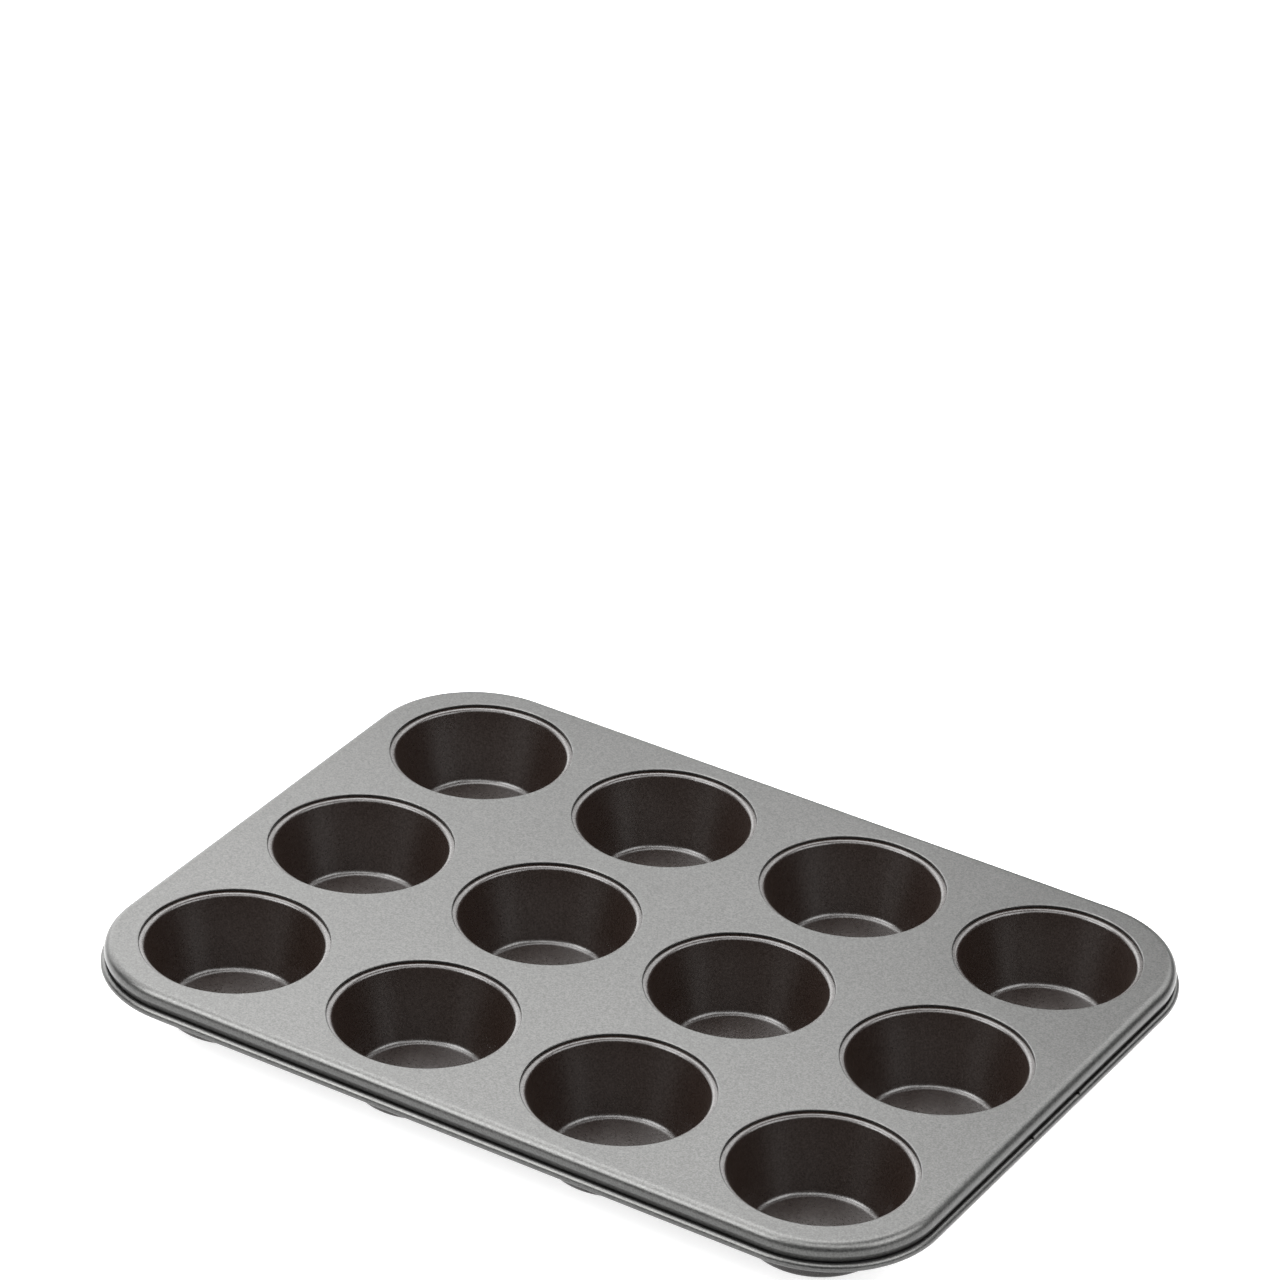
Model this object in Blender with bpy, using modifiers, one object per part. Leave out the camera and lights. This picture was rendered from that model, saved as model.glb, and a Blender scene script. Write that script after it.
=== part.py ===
"""Muffin tin: a pressed sheet with a rolled, wired rim and twelve drawn cups crimped into it.

Metres, +Z up. X runs along the tin's long side, and the cups stand on the plane z = 0.
Every piece of sheet metal is drawn as its middle surface and thickened by Solidify.
Cross-sections are lists of (distance, depth): the distance is measured outwards, and the
depth downwards from the flat top face.
"""

import math

import bmesh
import bpy
from mathutils import Vector

# Layout
COLUMNS = 4
ROWS = 3
PITCH_X = 0.0840
PITCH_Y = 0.0831
HEIGHT = 0.0302                 # from the surface the tin stands on to its flat top face

# Steel
STEEL = 0.0004                  # thickness of the sheet and of the cups
CLEARANCE = 0.00025             # gap between pieces that are pressed together

# Outline of the sheet, at the outer face of its lip
LIP_HALF_X = 0.1738
LIP_HALF_Y = 0.1294
CORNER_RADIUS = 0.0442

# Rim: shoulder, lip, neck, and the bead that is rolled round the wire
SHOULDER_RADIUS = 0.0036
LIP_DEPTH = 0.0045              # where the sheet turns inwards from the lip into the neck
BEAD_RADIUS = 0.0017
BEAD_CENTRE = (-0.00025, 0.0090)
BEAD_END = 16.0                 # degrees past the top of the bead where the rolled edge stops
WIRE_RADIUS = 0.0010

# Two drain holes in the top of the bead on one short side
DRAIN_RADIUS = 0.00065
DRAIN_OUTSET = 0.0001
DRAIN_TOP_DEPTH = 0.0072
DRAIN_END_DEPTH = 0.0085
DRAIN_MIDDLE_Y = 0.0027
DRAIN_SPACING = 0.0346

# Seam between the sheet and each cup
COLLAR_RADIUS = 0.0355          # inner face of the collar
HOOK_RADIUS = 0.0372            # outer end of the hook at the collar's foot
HEM_RADIUS = 0.0362             # inner end of the cup's hem, above the hook

# Cup
LEDGE_RADIUS = 0.0012           # rounding from the ledge into the wall
LEDGE_CENTRE = 0.0342
BASE_RADIUS = 0.0030            # rounding from the floor into the wall, inside the cup
BASE_FLAT_RADIUS = 0.0231

# Facets
ROUND_STEPS = 24
CORNER_STEPS = 6
SHOULDER_STEPS = 3
BEAD_STEPS = 10
LEDGE_STEPS = 2
BASE_STEPS = 3
DRAIN_STEPS = 12

# Levels of the seam, from the top: plate, hem of the cup, hook of the collar, flange
HEM_DEPTH = 1.5 * STEEL + CLEARANCE
HOOK_DEPTH = 2.5 * STEEL + 2 * CLEARANCE
LEDGE_DEPTH = 3 * STEEL + 3 * CLEARANCE
FLANGE_RADIUS = HOOK_RADIUS + CLEARANCE + STEEL / 2


def arc(centre, radius, start, end, steps):
    """Points of an arc in a cross-section. 0 degrees is up and 90 degrees is outwards."""
    points = []
    for step in range(steps + 1):
        angle = math.radians(start + (end - start) * step / steps)
        distance = centre[0] + radius * math.sin(angle)
        depth = centre[1] - radius * math.cos(angle)
        points.append((distance, depth))
    return points


def rim_section():
    """Middle of the sheet from the edge of the flat top to the end of the rolled bead."""
    shoulder = arc(
        (-SHOULDER_RADIUS, SHOULDER_RADIUS), SHOULDER_RADIUS - STEEL / 2, 0, 90, SHOULDER_STEPS
    )
    lip = (-STEEL / 2, LIP_DEPTH)
    # The neck leans inwards from the lip and touches the bead, which rolls under the wire,
    # up its outer side and over its top.
    radius = BEAD_RADIUS - STEEL / 2
    run = lip[0] - BEAD_CENTRE[0]
    drop = BEAD_CENTRE[1] - lip[1]
    lean = math.degrees(math.asin(radius / math.hypot(run, drop)) + math.atan2(run, drop))
    bead = arc(BEAD_CENTRE, radius, lean - 90, -360 - BEAD_END, BEAD_STEPS)
    return shoulder + [lip] + bead


def collar_section():
    """Middle of the sheet from an opening's edge, down the collar and out along its hook."""
    middle = COLLAR_RADIUS + STEEL / 2
    return [(middle, STEEL / 2), (middle, HOOK_DEPTH), (HOOK_RADIUS, HOOK_DEPTH)]


def cup_section():
    """Middle of a cup's metal from the end of its hem to the centre of its floor."""
    ledge_centre = (LEDGE_CENTRE, LEDGE_DEPTH + LEDGE_RADIUS)
    base_centre = (BASE_FLAT_RADIUS, HEIGHT - STEEL - BASE_RADIUS)
    ledge_middle = LEDGE_RADIUS - STEEL / 2
    base_middle = BASE_RADIUS + STEEL / 2
    run = ledge_centre[0] - base_centre[0]
    rise = base_centre[1] - ledge_centre[1]
    # The wall is the straight line that touches both roundings.
    tilt = math.acos((ledge_middle + base_middle) / math.hypot(run, rise)) - math.atan2(rise, run)
    taper = math.degrees(tilt)
    flange = [
        (HEM_RADIUS, HEM_DEPTH),
        (FLANGE_RADIUS, HEM_DEPTH),
        (FLANGE_RADIUS, LEDGE_DEPTH + STEEL / 2),
    ]
    ledge = arc(ledge_centre, ledge_middle, 360, 270 + taper, LEDGE_STEPS)
    base = arc(base_centre, base_middle, 90 + taper, 180, BASE_STEPS)
    return flange + ledge + base + [(0.0, HEIGHT - STEEL / 2)]


def outline(outset):
    """Corner points of the rounded rectangle that lies outset from the lip's outer face."""
    points = []
    for quarter in range(4):
        for step in range(CORNER_STEPS + 1):
            angle = math.radians(90 * (quarter + step / CORNER_STEPS))
            direction = Vector((math.cos(angle), math.sin(angle), 0.0))
            side = Vector((1 if quarter in (0, 3) else -1, 1 if quarter < 2 else -1, 0.0))
            core = Vector((
                side.x * (LIP_HALF_X - CORNER_RADIUS),
                side.y * (LIP_HALF_Y - CORNER_RADIUS),
                0.0,
            ))
            points.append(core + direction * (CORNER_RADIUS + outset))
    return points


def circle(centre, radius):
    points = []
    for step in range(ROUND_STEPS):
        angle = 2 * math.pi * step / ROUND_STEPS
        points.append(centre + radius * Vector((math.cos(angle), math.sin(angle), 0.0)))
    return points


def cup_centres():
    """Names and centres of the cups. Row 1 is at the back and column 1 at the left."""
    centres = {}
    for row in range(ROWS):
        for column in range(COLUMNS):
            x = (column - (COLUMNS - 1) / 2) * PITCH_X
            y = ((ROWS - 1) / 2 - row) * PITCH_Y
            centres[f"cup_r{row + 1}c{column + 1}"] = Vector((x, y, 0.0))
    return centres


def rim_core(point):
    """Point of the rectangle through the corner centres that is nearest to a rim point."""
    limit_x = LIP_HALF_X - CORNER_RADIUS
    limit_y = LIP_HALF_Y - CORNER_RADIUS
    x = max(-limit_x, min(limit_x, point.x))
    y = max(-limit_y, min(limit_y, point.y))
    return Vector((x, y, 0.0))


def add_loop(bm, points, depth):
    """Closed loop of edges at a depth below the top face."""
    verts = [bm.verts.new((point.x, point.y, HEIGHT - depth)) for point in points]
    return [bm.edges.new((verts[i - 1], verts[i])) for i in range(len(verts))]


def draw_edge(bm, edges, core_of, section):
    """Extrudes an open edge of the sheet through the points of a cross-section."""
    for distance, depth in section:
        made = bmesh.ops.extrude_edge_only(bm, edges=edges)["geom"]
        verts = {item for item in made if isinstance(item, bmesh.types.BMVert)}
        edges = [
            item for item in made
            if isinstance(item, bmesh.types.BMEdge) and verts.issuperset(item.verts)
        ]
        for vert in verts:
            core = core_of(vert.co)
            direction = vert.co - core
            direction.z = 0.0
            place = core + direction.normalized() * distance
            vert.co = (place.x, place.y, HEIGHT - depth)


def material(name, colour, roughness, metallic):
    made = bpy.data.materials.new(name)
    made.use_nodes = True
    shader = made.node_tree.nodes["Principled BSDF"]
    shader.inputs["Base Color"].default_value = (*colour, 1.0)
    shader.inputs["Roughness"].default_value = roughness
    shader.inputs["Metallic"].default_value = metallic
    return made


def add_object(name, data, collection, coating):
    data.materials.append(coating)
    made = bpy.data.objects.new(name, data)
    collection.objects.link(made)
    return made


def thicken(piece):
    solidify = piece.modifiers.new("thickness", "SOLIDIFY")
    solidify.thickness = STEEL
    solidify.offset = 0.0
    solidify.use_even_offset = True
    solidify.use_quality_normals = True


def make_top_sheet(collection, cutters, coating):
    bm = bmesh.new()
    section = rim_section()
    flat_edge, flat_depth = section[0]
    rim_edges = add_loop(bm, outline(flat_edge), flat_depth)
    openings = []
    collar = collar_section()
    for centre in cup_centres().values():
        openings.append((centre, add_loop(bm, circle(centre, collar[0][0]), flat_depth)))
    all_edges = rim_edges + [edge for _, edges in openings for edge in edges]
    bmesh.ops.triangle_fill(bm, use_beauty=True, edges=all_edges, normal=(0, 0, 1))
    rim_stations = [(CORNER_RADIUS + outset, depth) for outset, depth in section[1:]]
    draw_edge(bm, rim_edges, rim_core, rim_stations)
    for centre, edges in openings:
        draw_edge(bm, edges, lambda point, core=centre: core, collar[1:])
    bmesh.ops.recalc_face_normals(bm, faces=bm.faces)
    mesh = bpy.data.meshes.new("top_sheet")
    bm.to_mesh(mesh)
    bm.free()
    mesh.shade_smooth()
    mesh.set_sharp_from_angle(angle=math.radians(35))
    sheet = add_object("top_sheet", mesh, collection, coating)
    thicken(sheet)
    for side in (-1, 1):
        cut_drain_hole(sheet, DRAIN_MIDDLE_Y + side * DRAIN_SPACING / 2, cutters)
    return sheet


def cut_drain_hole(sheet, y, cutters):
    middle_depth = (DRAIN_TOP_DEPTH + DRAIN_END_DEPTH) / 2
    bpy.ops.mesh.primitive_cylinder_add(
        vertices=DRAIN_STEPS,
        radius=DRAIN_RADIUS,
        depth=DRAIN_END_DEPTH - DRAIN_TOP_DEPTH,
        location=(LIP_HALF_X + DRAIN_OUTSET, y, HEIGHT - middle_depth),
    )
    cutter = bpy.context.object
    cutter.name = "drain_cutter"
    cutter.hide_render = True
    cutter.display_type = "WIRE"
    for owner in list(cutter.users_collection):
        owner.objects.unlink(cutter)
    cutters.objects.link(cutter)
    cut = sheet.modifiers.new("drain_hole", "BOOLEAN")
    cut.operation = "DIFFERENCE"
    cut.solver = "EXACT"
    cut.object = cutter


def make_cups(collection, coating):
    """One turned mesh, shared by the twelve cups."""
    section = cup_section()
    mesh = bpy.data.meshes.new("cup")
    verts = [(distance, 0.0, HEIGHT - depth) for distance, depth in section]
    edges = [(i, i + 1) for i in range(len(verts) - 1)]
    mesh.from_pydata(verts, edges, [])
    mesh.materials.append(coating)
    for name, centre in cup_centres().items():
        cup = bpy.data.objects.new(name, mesh)
        cup.location = centre
        collection.objects.link(cup)
        screw = cup.modifiers.new("turn", "SCREW")
        screw.axis = "Z"
        screw.steps = ROUND_STEPS
        screw.render_steps = ROUND_STEPS
        screw.use_merge_vertices = True
        screw.merge_threshold = 0.00001
        screw.use_smooth_shade = True
        thicken(cup)


def make_rim_wire(collection, steel):
    curve = bpy.data.curves.new("rim_wire", "CURVE")
    curve.dimensions = "3D"
    curve.bevel_depth = WIRE_RADIUS
    curve.bevel_resolution = 2
    points = outline(BEAD_CENTRE[0])
    spline = curve.splines.new("POLY")
    spline.points.add(len(points) - 1)
    for place, point in zip(spline.points, points):
        place.co = (point.x, point.y, HEIGHT - BEAD_CENTRE[1], 1.0)
    spline.use_cyclic_u = True
    add_object("rim_wire", curve, collection, steel)


def main():
    for old in list(bpy.data.objects):
        bpy.data.objects.remove(old, do_unlink=True)
    tin = bpy.data.collections.new("muffin_tin")
    cutters = bpy.data.collections.new("cutters")
    for collection in (tin, cutters):
        bpy.context.scene.collection.children.link(collection)
    sheet_coating = material("sheet_coating", (0.135, 0.135, 0.130), 0.42, 0.75)
    cup_coating = material("cup_coating", (0.120, 0.118, 0.113), 0.40, 0.75)
    wire_steel = material("wire_steel", (0.50, 0.49, 0.47), 0.45, 1.0)
    make_top_sheet(tin, cutters, sheet_coating)
    make_cups(tin, cup_coating)
    make_rim_wire(tin, wire_steel)


main()
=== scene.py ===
"""Looks of the muffin tin: fine sheet metal, non-stick coating, studio floor, light and camera.

Metres, +Z up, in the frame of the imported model. Cross-sections are lists of
(distance, depth): the distance is measured outwards and the depth downwards from the
tin's flat top face. Each follows the middle of the steel, and Solidify gives it thickness.
"""
import math

import bmesh
import bpy
from mathutils import Matrix, Vector


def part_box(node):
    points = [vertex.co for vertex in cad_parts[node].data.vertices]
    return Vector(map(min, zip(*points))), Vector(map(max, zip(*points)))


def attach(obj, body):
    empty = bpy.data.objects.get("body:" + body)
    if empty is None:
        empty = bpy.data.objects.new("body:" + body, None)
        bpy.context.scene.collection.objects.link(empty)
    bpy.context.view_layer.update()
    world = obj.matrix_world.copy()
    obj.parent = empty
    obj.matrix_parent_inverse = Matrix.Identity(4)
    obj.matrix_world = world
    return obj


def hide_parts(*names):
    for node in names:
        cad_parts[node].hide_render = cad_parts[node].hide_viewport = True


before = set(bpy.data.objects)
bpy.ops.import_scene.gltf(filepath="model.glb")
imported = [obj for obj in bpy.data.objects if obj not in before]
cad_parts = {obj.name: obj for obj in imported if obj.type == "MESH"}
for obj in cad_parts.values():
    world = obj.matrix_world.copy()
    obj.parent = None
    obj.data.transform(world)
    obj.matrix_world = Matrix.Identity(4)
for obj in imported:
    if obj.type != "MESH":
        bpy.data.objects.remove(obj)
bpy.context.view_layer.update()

SHEET_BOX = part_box("top_sheet")
TOP = SHEET_BOX[1].z

# Steel and seams
STEEL = 0.0004
SEAM_GAP = 0.00002              # drawn between pieces that are pressed together
BEND_STEP = 9.0                 # degrees of bend for each facet of a cross-section

# Rim of the sheet
SHOULDER_RADIUS = 0.0036
LIP_DEPTH = 0.0045              # where the sheet turns inwards from the lip into the neck
LIP_BEND = 0.0003
BEAD_RADIUS = 0.0017
BEAD_CENTRE = (-0.00025, 0.0090)
WIRE_RADIUS = 0.0010
BEAD_END = 16.0                 # degrees past the top of the bead where the rolled edge stops

# Outline of the sheet, at the outer face of its lip
LIP_HALF_X = SHEET_BOX[1].x - BEAD_CENTRE[0] - BEAD_RADIUS
LIP_HALF_Y = SHEET_BOX[1].y - BEAD_CENTRE[0] - BEAD_RADIUS
CORNER_RADIUS = 0.0442
CORNER_STEPS = 24
FLAT_MARGIN = 0.0006            # flat strip beside each bend, which keeps the top's shading flat

# Drain holes in the top of the bead on one short side
DRAIN_RADIUS = 0.00085
DRAIN_OUTSET = -0.0001
DRAIN_TOP_DEPTH = 0.0070
DRAIN_END_DEPTH = 0.0085
DRAIN_MIDDLE_Y = 0.0027
DRAIN_SPACING = 0.0346

# Openings and cups
ROUND_STEPS = 96
COLLAR_RADIUS = 0.0355
COLLAR_BEND = 0.00025
HOOK_RADIUS = 0.0372
HEM_RADIUS = 0.0362
SEAM_BEND = 0.00028
LEDGE_DEPTH = 0.00125
LEDGE_CORNER = 0.03364          # where the ledge and the wall would meet without rounding
LEDGE_BEND = 0.0014
BASE_CORNER = 0.02540
BASE_BEND = 0.0026

# Fine facets
MERGE_DISTANCE = 0.00001
SHARP_ANGLE = 40.0              # degrees between faces from which an edge is drawn sharp
DRAIN_STEPS = 32
WIRE_FACETS = 4                 # bevel resolution of the wire's round section

# Coatings: colour, roughness, metallic, index of refraction
SHEET_COATING = ((0.065, 0.065, 0.0635), 0.36, 0.95, 1.5)
CUP_COATING = ((0.0068, 0.0038, 0.0027), 0.29, 0.0, 1.56)
WIRE_TINT = (0.060, 0.054, 0.050)
FLOOR_TINT = (0.50, 0.50, 0.50)

# Noise scales: features per metre, roughly
GRAIN_SCALE = 1500.0            # the sprayed grain
FLAKE_SCALE = 700.0             # metal flakes in the coating
CLOUD_SCALE = 14.0              # slow change of tone
WAVE_SCALE = 22.0               # waviness of the pressed steel
TARNISH_SCALE = 160.0
DRAWN_SCALE = 2600.0            # lines along the drawn wire
PAPER_SCALE = 40.0

# Camera, above the front right corner: millimetres for the lens, degrees for the angles
LENS = 175.6
SENSOR = 36.0
CAMERA_RANGE = 50.0
CAMERA_AZIMUTH = 30.68
CAMERA_ELEVATION = 30.15
CAMERA_ROLL = -2.63
CAMERA_DISTANCE = 2.5125
CAMERA_TARGET = Vector((-0.1213, 0.1924, TOP))

# Studio surround: (elevation, radiance), brightening from the horizon to overhead
SURROUND = ((0, 0.08), (20, 0.12), (34, 0.22), (64, 0.38), (90, 0.38))
SURROUND_TOP = 0.4
# Softboxes: (name, azimuth, elevation, distance, width, height, power)
SOFTBOXES = (
    ("overhead", 0, 88, 1.5, 1.4, 1.4, 4.3),
    ("overhead_left", -110, 72, 1.6, 1.2, 0.8, 14.5),
    ("left_high", -55, 62, 1.6, 1.2, 0.8, 9.0),
    ("front_left", -35, 40, 1.6, 1.0, 0.8, 34.0),
    ("front_high", 30, 60, 1.6, 1.0, 0.8, 16.0),
    ("left", -97, 38, 1.6, 1.0, 0.8, 9.0),
    ("right", 95, 40, 1.5, 1.2, 0.8, 24.0),
    ("back_high", 215, 62, 1.5, 1.2, 0.8, 12.0),
    ("back_right", 168, 39, 1.5, 1.0, 0.8, 13.5),
    ("back_left", 235, 30, 1.5, 0.8, 0.6, 3.8),
    ("back_left_low", 222, 13, 1.6, 1.0, 0.4, 2.5),
    ("left_low", -106, 17, 1.5, 1.2, 0.6, 9.0),
    ("back_near", 215, 36, 0.8, 0.6, 0.5, 1.8),
    ("back_near_high", 225, 50, 0.8, 0.6, 0.5, 2.7),
)
FLOOR_HALF = 6.0
FLOOR_LEVEL = -0.00005          # just clear of the cups' undersides, so no faces coincide
FLOOR_GLOW = 0.75               # the floor is a lit table, which leaves hardly any shadow


def arc(centre, radius, start, end, steps):
    """Points of an arc in a cross-section. 0 degrees is up and 90 degrees is outwards."""
    points = []
    for step in range(steps + 1):
        angle = math.radians(start + (end - start) * step / steps)
        distance = centre[0] + radius * math.sin(angle)
        depth = centre[1] - radius * math.cos(angle)
        points.append((distance, depth))
    return points


def bent(points, radii):
    """The polyline with each inner corner rounded to its radius."""
    made = [Vector(points[0])]
    for before, corner, after, radius in zip(points, points[1:], points[2:], radii):
        corner = Vector(corner)
        back = (Vector(before) - corner).normalized()
        ahead = (Vector(after) - corner).normalized()
        turn = math.pi - back.angle(ahead)
        reach = radius * math.tan(turn / 2)
        centre = corner + (back + ahead).normalized() * (radius / math.cos(turn / 2))
        first = corner + back * reach - centre
        last = corner + ahead * reach - centre
        steps = max(2, round(math.degrees(turn) / BEND_STEP))
        for step in range(steps + 1):
            share = step / steps
            spoke = first * math.sin((1 - share) * turn) + last * math.sin(share * turn)
            made.append(centre + spoke / math.sin(turn))
    made.append(Vector(points[-1]))
    return [(point.x, point.y) for point in made]


def rim_section():
    """Middle of the sheet from its flat top to the end of the rolled bead."""
    middle = STEEL / 2
    radius = BEAD_RADIUS - middle
    run = -middle - BEAD_CENTRE[0]
    drop = BEAD_CENTRE[1] - LIP_DEPTH
    # The neck leans inwards from the lip and touches the bead.
    lean = math.degrees(math.asin(radius / math.hypot(run, drop)) + math.atan2(run, drop))
    steps = round((270 + BEAD_END + lean) / BEND_STEP)
    bead = arc(BEAD_CENTRE, radius, lean - 90, -360 - BEAD_END, steps)
    lip = bent(
        [(-SHOULDER_RADIUS - FLAT_MARGIN, middle), (-middle, middle), (-middle, LIP_DEPTH), bead[0]],
        [SHOULDER_RADIUS - middle, LIP_BEND],
    )
    return lip + bead[1:]


def collar_section():
    """Middle of the sheet from the flat top, down an opening's collar and out along its hook."""
    middle = STEEL / 2
    wall = COLLAR_RADIUS + middle
    hook = LEDGE_DEPTH - SEAM_GAP - middle
    return bent(
        [(wall + COLLAR_BEND + FLAT_MARGIN, middle), (wall, middle), (wall, hook), (HOOK_RADIUS, hook)],
        [COLLAR_BEND, SEAM_BEND],
    )


def cup_section():
    """Middle of a cup's metal from the end of its hem to the centre of its floor."""
    middle = STEEL / 2
    hem = STEEL + SEAM_GAP + middle
    flange = HOOK_RADIUS + SEAM_GAP + middle
    ledge = LEDGE_DEPTH + middle
    floor = TOP - middle
    return bent(
        [
            (HEM_RADIUS, hem),
            (flange, hem),
            (flange, ledge),
            (LEDGE_CORNER, ledge),
            (BASE_CORNER, floor),
            (0.0, floor),
        ],
        [SEAM_BEND, SEAM_BEND, LEDGE_BEND, BASE_BEND],
    )


def outline(outset):
    """Corner points of the rounded rectangle that lies outset from the lip's outer face."""
    points = []
    for quarter in range(4):
        side_x = 1 if quarter in (0, 3) else -1
        side_y = 1 if quarter < 2 else -1
        core = Vector((side_x * (LIP_HALF_X - CORNER_RADIUS), side_y * (LIP_HALF_Y - CORNER_RADIUS), 0))
        for step in range(CORNER_STEPS + 1):
            angle = math.radians(90 * (quarter + step / CORNER_STEPS))
            direction = Vector((math.cos(angle), math.sin(angle), 0))
            points.append(core + (CORNER_RADIUS + outset) * direction)
    return points


def circle(centre, radius):
    """Points round an opening."""
    angles = [2 * math.pi * step / ROUND_STEPS for step in range(ROUND_STEPS)]
    return [centre + radius * Vector((math.cos(angle), math.sin(angle), 0)) for angle in angles]


def rim_core(point):
    """Point of the rectangle through the corner centres that is nearest to a rim point."""
    limit_x = LIP_HALF_X - CORNER_RADIUS
    limit_y = LIP_HALF_Y - CORNER_RADIUS
    return Vector((max(-limit_x, min(limit_x, point.x)), max(-limit_y, min(limit_y, point.y)), 0))


def add_loop(bm, points, depth):
    """Edges of a closed outline at a depth below the top face."""
    verts = [bm.verts.new((point.x, point.y, TOP - depth)) for point in points]
    return [bm.edges.new((verts[i - 1], verts[i])) for i in range(len(verts))]


def draw_edge(bm, edges, core_of, section):
    """Extrudes an open edge of the sheet through the points of a cross-section."""
    for distance, depth in section:
        made = bmesh.ops.extrude_edge_only(bm, edges=edges)["geom"]
        verts = {item for item in made if isinstance(item, bmesh.types.BMVert)}
        edges = [
            item for item in made
            if isinstance(item, bmesh.types.BMEdge) and verts.issuperset(item.verts)
        ]
        for vert in verts:
            core = core_of(vert.co)
            direction = vert.co - core
            direction.z = 0
            place = core + direction.normalized() * distance
            vert.co = (place.x, place.y, TOP - depth)


def thicken(piece):
    """Gives a piece drawn as its middle surface the thickness of the steel."""
    solidify = piece.modifiers.new("thickness", "SOLIDIFY")
    solidify.thickness = STEEL
    solidify.offset = 0
    solidify.use_even_offset = True
    solidify.use_quality_normals = True


def apply_modifiers(piece):
    """Turns the piece's modifiers into its plain mesh."""
    graph = bpy.context.evaluated_depsgraph_get()
    mesh = bpy.data.meshes.new_from_object(piece.evaluated_get(graph))
    piece.modifiers.clear()
    piece.data = mesh


def finish_piece(piece, node, coating):
    """Gives a piece its material and puts it in place of its CAD node."""
    piece.data.materials.clear()
    piece.data.materials.append(coating)
    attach(piece, "root")
    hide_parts(node)


def add_object(name, data):
    made = bpy.data.objects.new(name, data)
    bpy.context.scene.collection.objects.link(made)
    return made


def cup_nodes():
    return sorted(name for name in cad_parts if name.startswith("cup_"))


def centre_of(node):
    low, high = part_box(node)
    return Vector(((low.x + high.x) / 2, (low.y + high.y) / 2, 0))


def drain_cutter(y):
    """Upright cylinder that pierces the top of the bead."""
    bm = bmesh.new()
    bmesh.ops.create_cone(
        bm, cap_ends=True, segments=DRAIN_STEPS, radius1=DRAIN_RADIUS, radius2=DRAIN_RADIUS,
        depth=DRAIN_END_DEPTH - DRAIN_TOP_DEPTH,
        matrix=Matrix.Translation(
            (LIP_HALF_X + DRAIN_OUTSET, y, TOP - (DRAIN_TOP_DEPTH + DRAIN_END_DEPTH) / 2)
        ),
    )
    mesh = bpy.data.meshes.new("drain_cutter")
    bm.to_mesh(mesh)
    bm.free()
    return add_object("drain_cutter", mesh)


def make_sheet(coating):
    """The pressed sheet: flat top, rim and bead, collars round the openings, drain holes."""
    bm = bmesh.new()
    section = rim_section()
    collar = collar_section()
    rim_edges = add_loop(bm, outline(section[0][0]), section[0][1])
    openings = []
    for node in cup_nodes():
        centre = centre_of(node)
        openings.append((centre, add_loop(bm, circle(centre, collar[0][0]), collar[0][1])))
    flat_edges = rim_edges + [edge for _, edges in openings for edge in edges]
    bmesh.ops.triangle_fill(bm, use_beauty=True, edges=flat_edges, normal=(0, 0, 1))
    draw_edge(bm, rim_edges, rim_core, [(CORNER_RADIUS + out, depth) for out, depth in section[1:]])
    for centre, edges in openings:
        draw_edge(bm, edges, lambda point, core=centre: core, collar[1:])
    bmesh.ops.recalc_face_normals(bm, faces=bm.faces)
    mesh = bpy.data.meshes.new("top_sheet_pressed")
    bm.to_mesh(mesh)
    bm.free()
    sheet = add_object("top_sheet_pressed", mesh)
    thicken(sheet)
    cutters = [drain_cutter(DRAIN_MIDDLE_Y + side * DRAIN_SPACING / 2) for side in (-1, 1)]
    for cutter in cutters:
        cut = sheet.modifiers.new("drain_hole", "BOOLEAN")
        cut.solver = "EXACT"
        cut.object = cutter
    apply_modifiers(sheet)
    for cutter in cutters:
        bpy.data.objects.remove(cutter, do_unlink=True)
    shade(sheet.data)
    finish_piece(sheet, "top_sheet", coating)


def shade(mesh):
    mesh.shade_smooth()
    mesh.set_sharp_from_angle(angle=math.radians(SHARP_ANGLE))


def make_cup(node, coating):
    """One drawn cup: its cross-section turned round its own axis."""
    centre = centre_of(node)
    mesh = bpy.data.meshes.new(node)
    verts = [(distance, 0, TOP - depth) for distance, depth in cup_section()]
    mesh.from_pydata(verts, [(i, i + 1) for i in range(len(verts) - 1)], [])
    cup = add_object(node.replace("cup", "drawn_cup"), mesh)
    screw = cup.modifiers.new("turn", "SCREW")
    screw.steps = ROUND_STEPS
    screw.render_steps = ROUND_STEPS
    screw.use_merge_vertices = True
    screw.merge_threshold = MERGE_DISTANCE
    thicken(cup)
    apply_modifiers(cup)
    cup.data.transform(Matrix.Translation(centre))
    shade(cup.data)
    finish_piece(cup, node, coating)


def make_wire(steel):
    """The round wire that lies inside the bead."""
    curve = bpy.data.curves.new("wire_ring", "CURVE")
    curve.dimensions = "3D"
    curve.bevel_depth = WIRE_RADIUS
    curve.bevel_resolution = WIRE_FACETS
    points = outline(BEAD_CENTRE[0])
    spline = curve.splines.new("POLY")
    spline.points.add(len(points) - 1)
    for place, point in zip(spline.points, points):
        place.co = (point.x, point.y, TOP - BEAD_CENTRE[1], 1)
    spline.use_cyclic_u = True
    wire = add_object("rim_wire_drawn", curve)
    finish_piece(wire, "rim_wire", steel)


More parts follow.
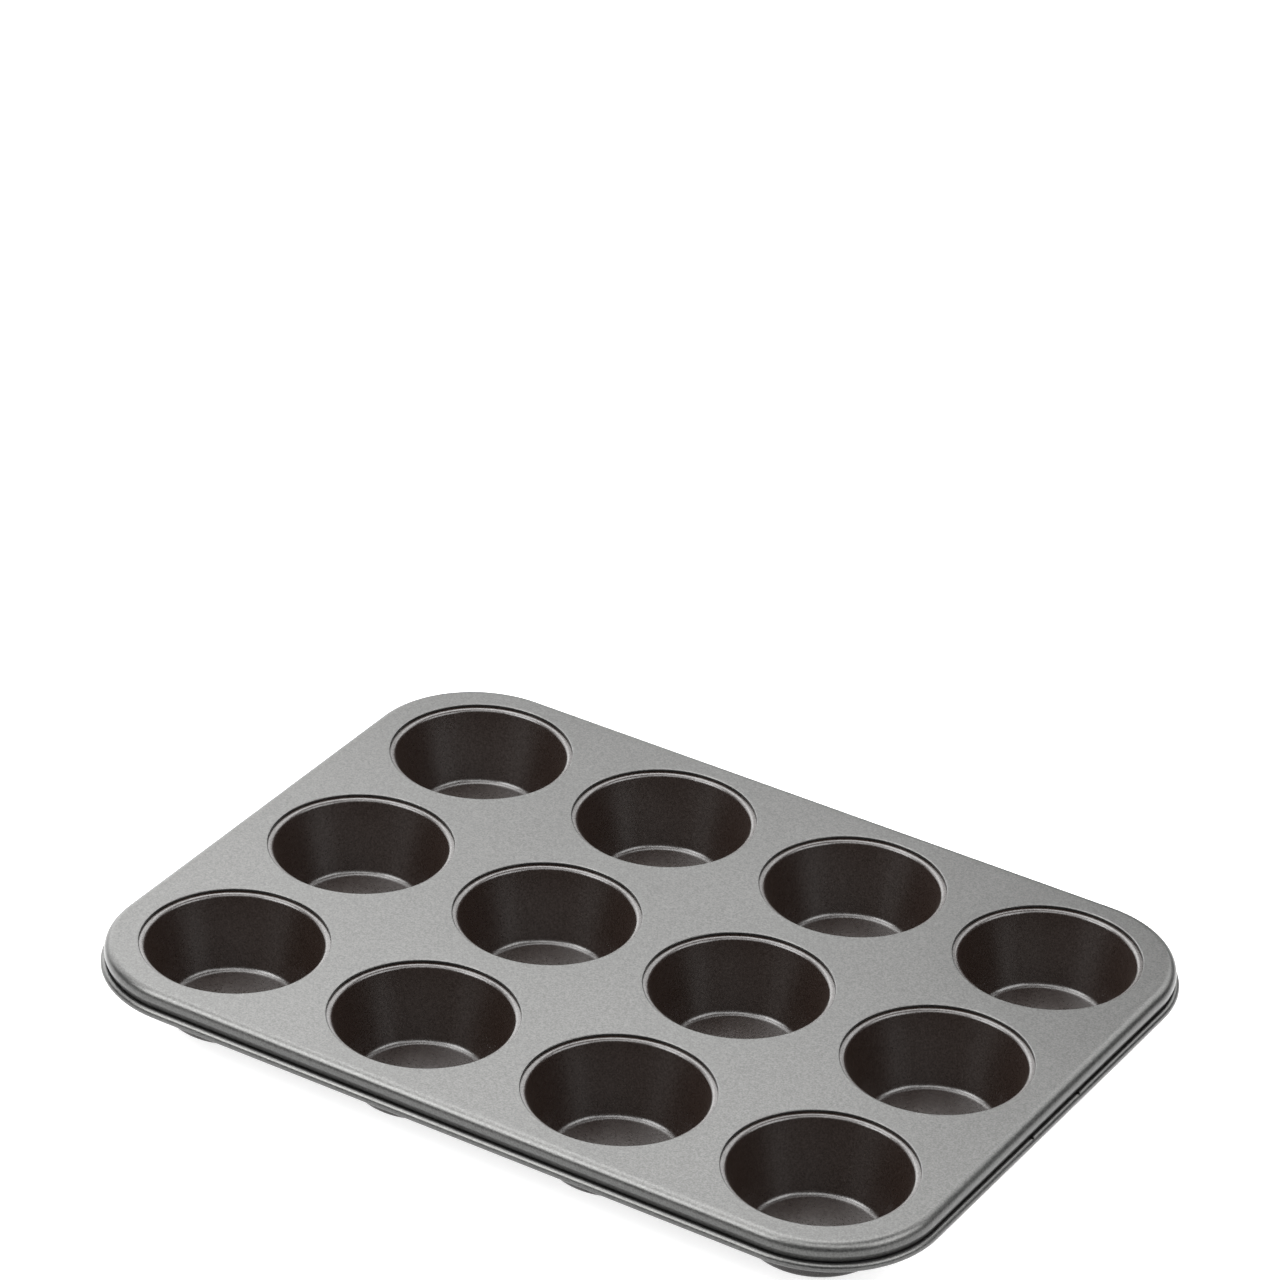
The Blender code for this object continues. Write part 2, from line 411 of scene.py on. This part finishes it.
class Nodes:
    """Short calls for building one material's node tree."""

    def __init__(self, name):
        self.material = bpy.data.materials.new(name)
        self.material.use_nodes = True
        self.tree = self.material.node_tree
        self.shader = self.tree.nodes["Principled BSDF"]
        self.place = self.add("ShaderNodeTexCoord").outputs["Object"]

    def add(self, kind, **values):
        node = self.tree.nodes.new(kind)
        for key, value in values.items():
            setattr(node, key, value)
        return node

    def link(self, source, target):
        self.tree.links.new(source, target)

    def noise(self, scale, detail=2.0, roughness=0.5):
        node = self.add("ShaderNodeTexNoise")
        node.inputs["Scale"].default_value = scale
        node.inputs["Detail"].default_value = detail
        node.inputs["Roughness"].default_value = roughness
        self.link(self.place, node.inputs["Vector"])
        return node.outputs["Fac"]

    def remap(self, value, low, high, to_low, to_high):
        """The value with its range from low to high stretched to a new range."""
        node = self.add("ShaderNodeMapRange")
        sockets = ("From Min", "From Max", "To Min", "To Max")
        for socket, number in zip(sockets, (low, high, to_low, to_high)):
            node.inputs[socket].default_value = number
        self.link(value, node.inputs["Value"])
        return node.outputs["Result"]

    def math(self, operation, first, second):
        node = self.add("ShaderNodeMath", operation=operation)
        for socket, value in zip(node.inputs, (first, second)):
            if isinstance(value, (int, float)):
                socket.default_value = value
            else:
                self.link(value, socket)
        return node.outputs[0]

    def tint(self, colour, factor):
        """The colour times a factor that varies over the surface."""
        node = self.add("ShaderNodeVectorMath", operation="SCALE")
        node.inputs[0].default_value = colour
        self.link(factor, node.inputs["Scale"])
        self.link(node.outputs[0], self.shader.inputs["Base Color"])

    def bump(self, height, distance, strength, under=None):
        """A surface normal from a height, on top of the bumps under it."""
        node = self.add("ShaderNodeBump")
        node.inputs["Distance"].default_value = distance
        node.inputs["Strength"].default_value = strength
        self.link(height, node.inputs["Height"])
        if under is not None:
            self.link(under, node.inputs["Normal"])
        return node.outputs["Normal"]


def coating_material(name, colour, roughness, metallic, ior):
    """Satin, dark grey non-stick coating with a fine sprayed grain."""
    nodes = Nodes(name)
    nodes.shader.inputs["Metallic"].default_value = metallic
    nodes.shader.inputs["IOR"].default_value = ior
    fine = nodes.noise(GRAIN_SCALE, 2.0, 0.6)
    flakes = nodes.noise(FLAKE_SCALE, 1.0)
    cloud = nodes.noise(CLOUD_SCALE, 3.0)
    shade_fine = nodes.remap(fine, 0.35, 0.65, 0.80, 1.20)
    shade_flakes = nodes.remap(flakes, 0.35, 0.65, 0.94, 1.06)
    shade_cloud = nodes.remap(cloud, 0.3, 0.7, 0.97, 1.03)
    factor = nodes.math("MULTIPLY", shade_fine, nodes.math("MULTIPLY", shade_flakes, shade_cloud))
    nodes.tint(colour, factor)
    nodes.link(nodes.math("MULTIPLY", factor, 0.5), nodes.shader.inputs["Specular IOR Level"])
    rough_cloud = nodes.remap(cloud, 0.3, 0.7, -0.02, 0.02)
    rough_fine = nodes.remap(fine, 0.3, 0.7, -0.03, 0.03)
    rough = nodes.math("ADD", rough_cloud, rough_fine)
    nodes.link(nodes.math("ADD", rough, roughness), nodes.shader.inputs["Roughness"])
    waves = nodes.bump(nodes.noise(WAVE_SCALE, 1.0), 0.0004, 0.15)
    grain = nodes.bump(fine, 0.00002, 0.35, waves)
    nodes.link(grain, nodes.shader.inputs["Normal"])
    return nodes.material


def wire_material():
    """Drawn steel wire: fine lines along the wire and light tarnish."""
    nodes = Nodes("wire_steel_drawn")
    nodes.shader.inputs["Metallic"].default_value = 1.0
    tarnish = nodes.noise(TARNISH_SCALE, 4.0)
    nodes.tint(WIRE_TINT, nodes.remap(tarnish, 0.3, 0.7, 0.75, 1.1))
    nodes.link(nodes.remap(tarnish, 0.3, 0.7, 0.55, 0.38), nodes.shader.inputs["Roughness"])
    nodes.link(nodes.bump(nodes.noise(DRAWN_SCALE, 2.0), 0.00001, 0.4), nodes.shader.inputs["Normal"])
    return nodes.material


def floor_material():
    """Pale paper, lit from below."""
    nodes = Nodes("floor_paper")
    nodes.shader.inputs["Roughness"].default_value = 0.9
    nodes.tint(FLOOR_TINT, nodes.remap(nodes.noise(PAPER_SCALE, 3.0), 0.3, 0.7, 0.995, 1.005))
    nodes.shader.inputs["Emission Color"].default_value = (1, 1, 1, 1)
    nodes.shader.inputs["Emission Strength"].default_value = FLOOR_GLOW
    return nodes.material


def make_floor(paper):
    bm = bmesh.new()
    bmesh.ops.create_grid(bm, x_segments=8, y_segments=8, size=FLOOR_HALF)
    mesh = bpy.data.meshes.new("floor")
    bm.to_mesh(mesh)
    bm.free()
    mesh.materials.append(paper)
    floor = add_object("floor", mesh)
    floor.location.z = FLOOR_LEVEL


def direction_to(azimuth, elevation):
    """Unit vector towards a compass point: azimuth 0 is -Y and 90 is +X, in degrees."""
    a = math.radians(azimuth)
    e = math.radians(elevation)
    return Vector((math.sin(a) * math.cos(e), -math.cos(a) * math.cos(e), math.sin(e)))


def make_softbox(name, azimuth, elevation, distance, width, height, power):
    """Area light that faces the middle of the tin."""
    data = bpy.data.lights.new(name, "AREA")
    data.shape = "RECTANGLE"
    data.size = width
    data.size_y = height
    data.energy = power
    lamp = add_object(name, data)
    away = direction_to(azimuth, elevation)
    lamp.location = away * distance
    lamp.rotation_euler = away.to_track_quat("Z", "Y").to_euler()


def make_world():
    """Studio surround that brightens softly from the horizon to overhead."""
    world = bpy.data.worlds.new("studio")
    world.use_nodes = True
    tree = world.node_tree
    place = tree.nodes.new("ShaderNodeTexCoord")
    height = tree.nodes.new("ShaderNodeSeparateXYZ")
    tree.links.new(place.outputs["Generated"], height.inputs[0])
    ramp = tree.nodes.new("ShaderNodeValToRGB")
    tree.links.new(height.outputs["Z"], ramp.inputs["Fac"])
    stops = ramp.color_ramp.elements
    while len(stops) < len(SURROUND):
        stops.new(0.5)
    for stop, (elevation, radiance) in zip(stops, SURROUND):
        stop.position = math.sin(math.radians(elevation))
        stop.color = (*[radiance / SURROUND_TOP] * 3, 1)
    background = tree.nodes["Background"]
    background.inputs["Strength"].default_value = SURROUND_TOP
    tree.links.new(ramp.outputs["Color"], background.inputs["Color"])
    bpy.context.scene.world = world


def make_lights():
    make_world()
    for softbox in SOFTBOXES:
        make_softbox(*softbox)


def make_camera():
    """Long lens, aimed beside the tin, which leaves the tin low in the picture."""
    away = direction_to(CAMERA_AZIMUTH, CAMERA_ELEVATION)
    azimuth = math.radians(CAMERA_AZIMUTH)
    level = Vector((math.cos(azimuth), math.sin(azimuth), 0))
    right = Matrix.Rotation(math.radians(CAMERA_ROLL), 3, -away) @ level
    up = away.cross(right)
    data = bpy.data.cameras.new("camera")
    data.lens = LENS
    data.sensor_width = SENSOR
    data.clip_end = CAMERA_RANGE
    camera = add_object("camera", data)
    turn = Matrix((right, up, away)).transposed()
    camera.matrix_world = Matrix.Translation(CAMERA_TARGET + away * CAMERA_DISTANCE) @ turn.to_4x4()
    bpy.context.scene.camera = camera


def main():
    sheet_coating = coating_material("sheet_coating_sprayed", *SHEET_COATING)
    cup_coating = coating_material("cup_coating_sprayed", *CUP_COATING)
    make_sheet(sheet_coating)
    for node in cup_nodes():
        make_cup(node, cup_coating)
    make_wire(wire_material())
    make_floor(floor_material())
    make_lights()
    make_camera()
    bpy.context.scene.view_settings.view_transform = "Standard"


main()
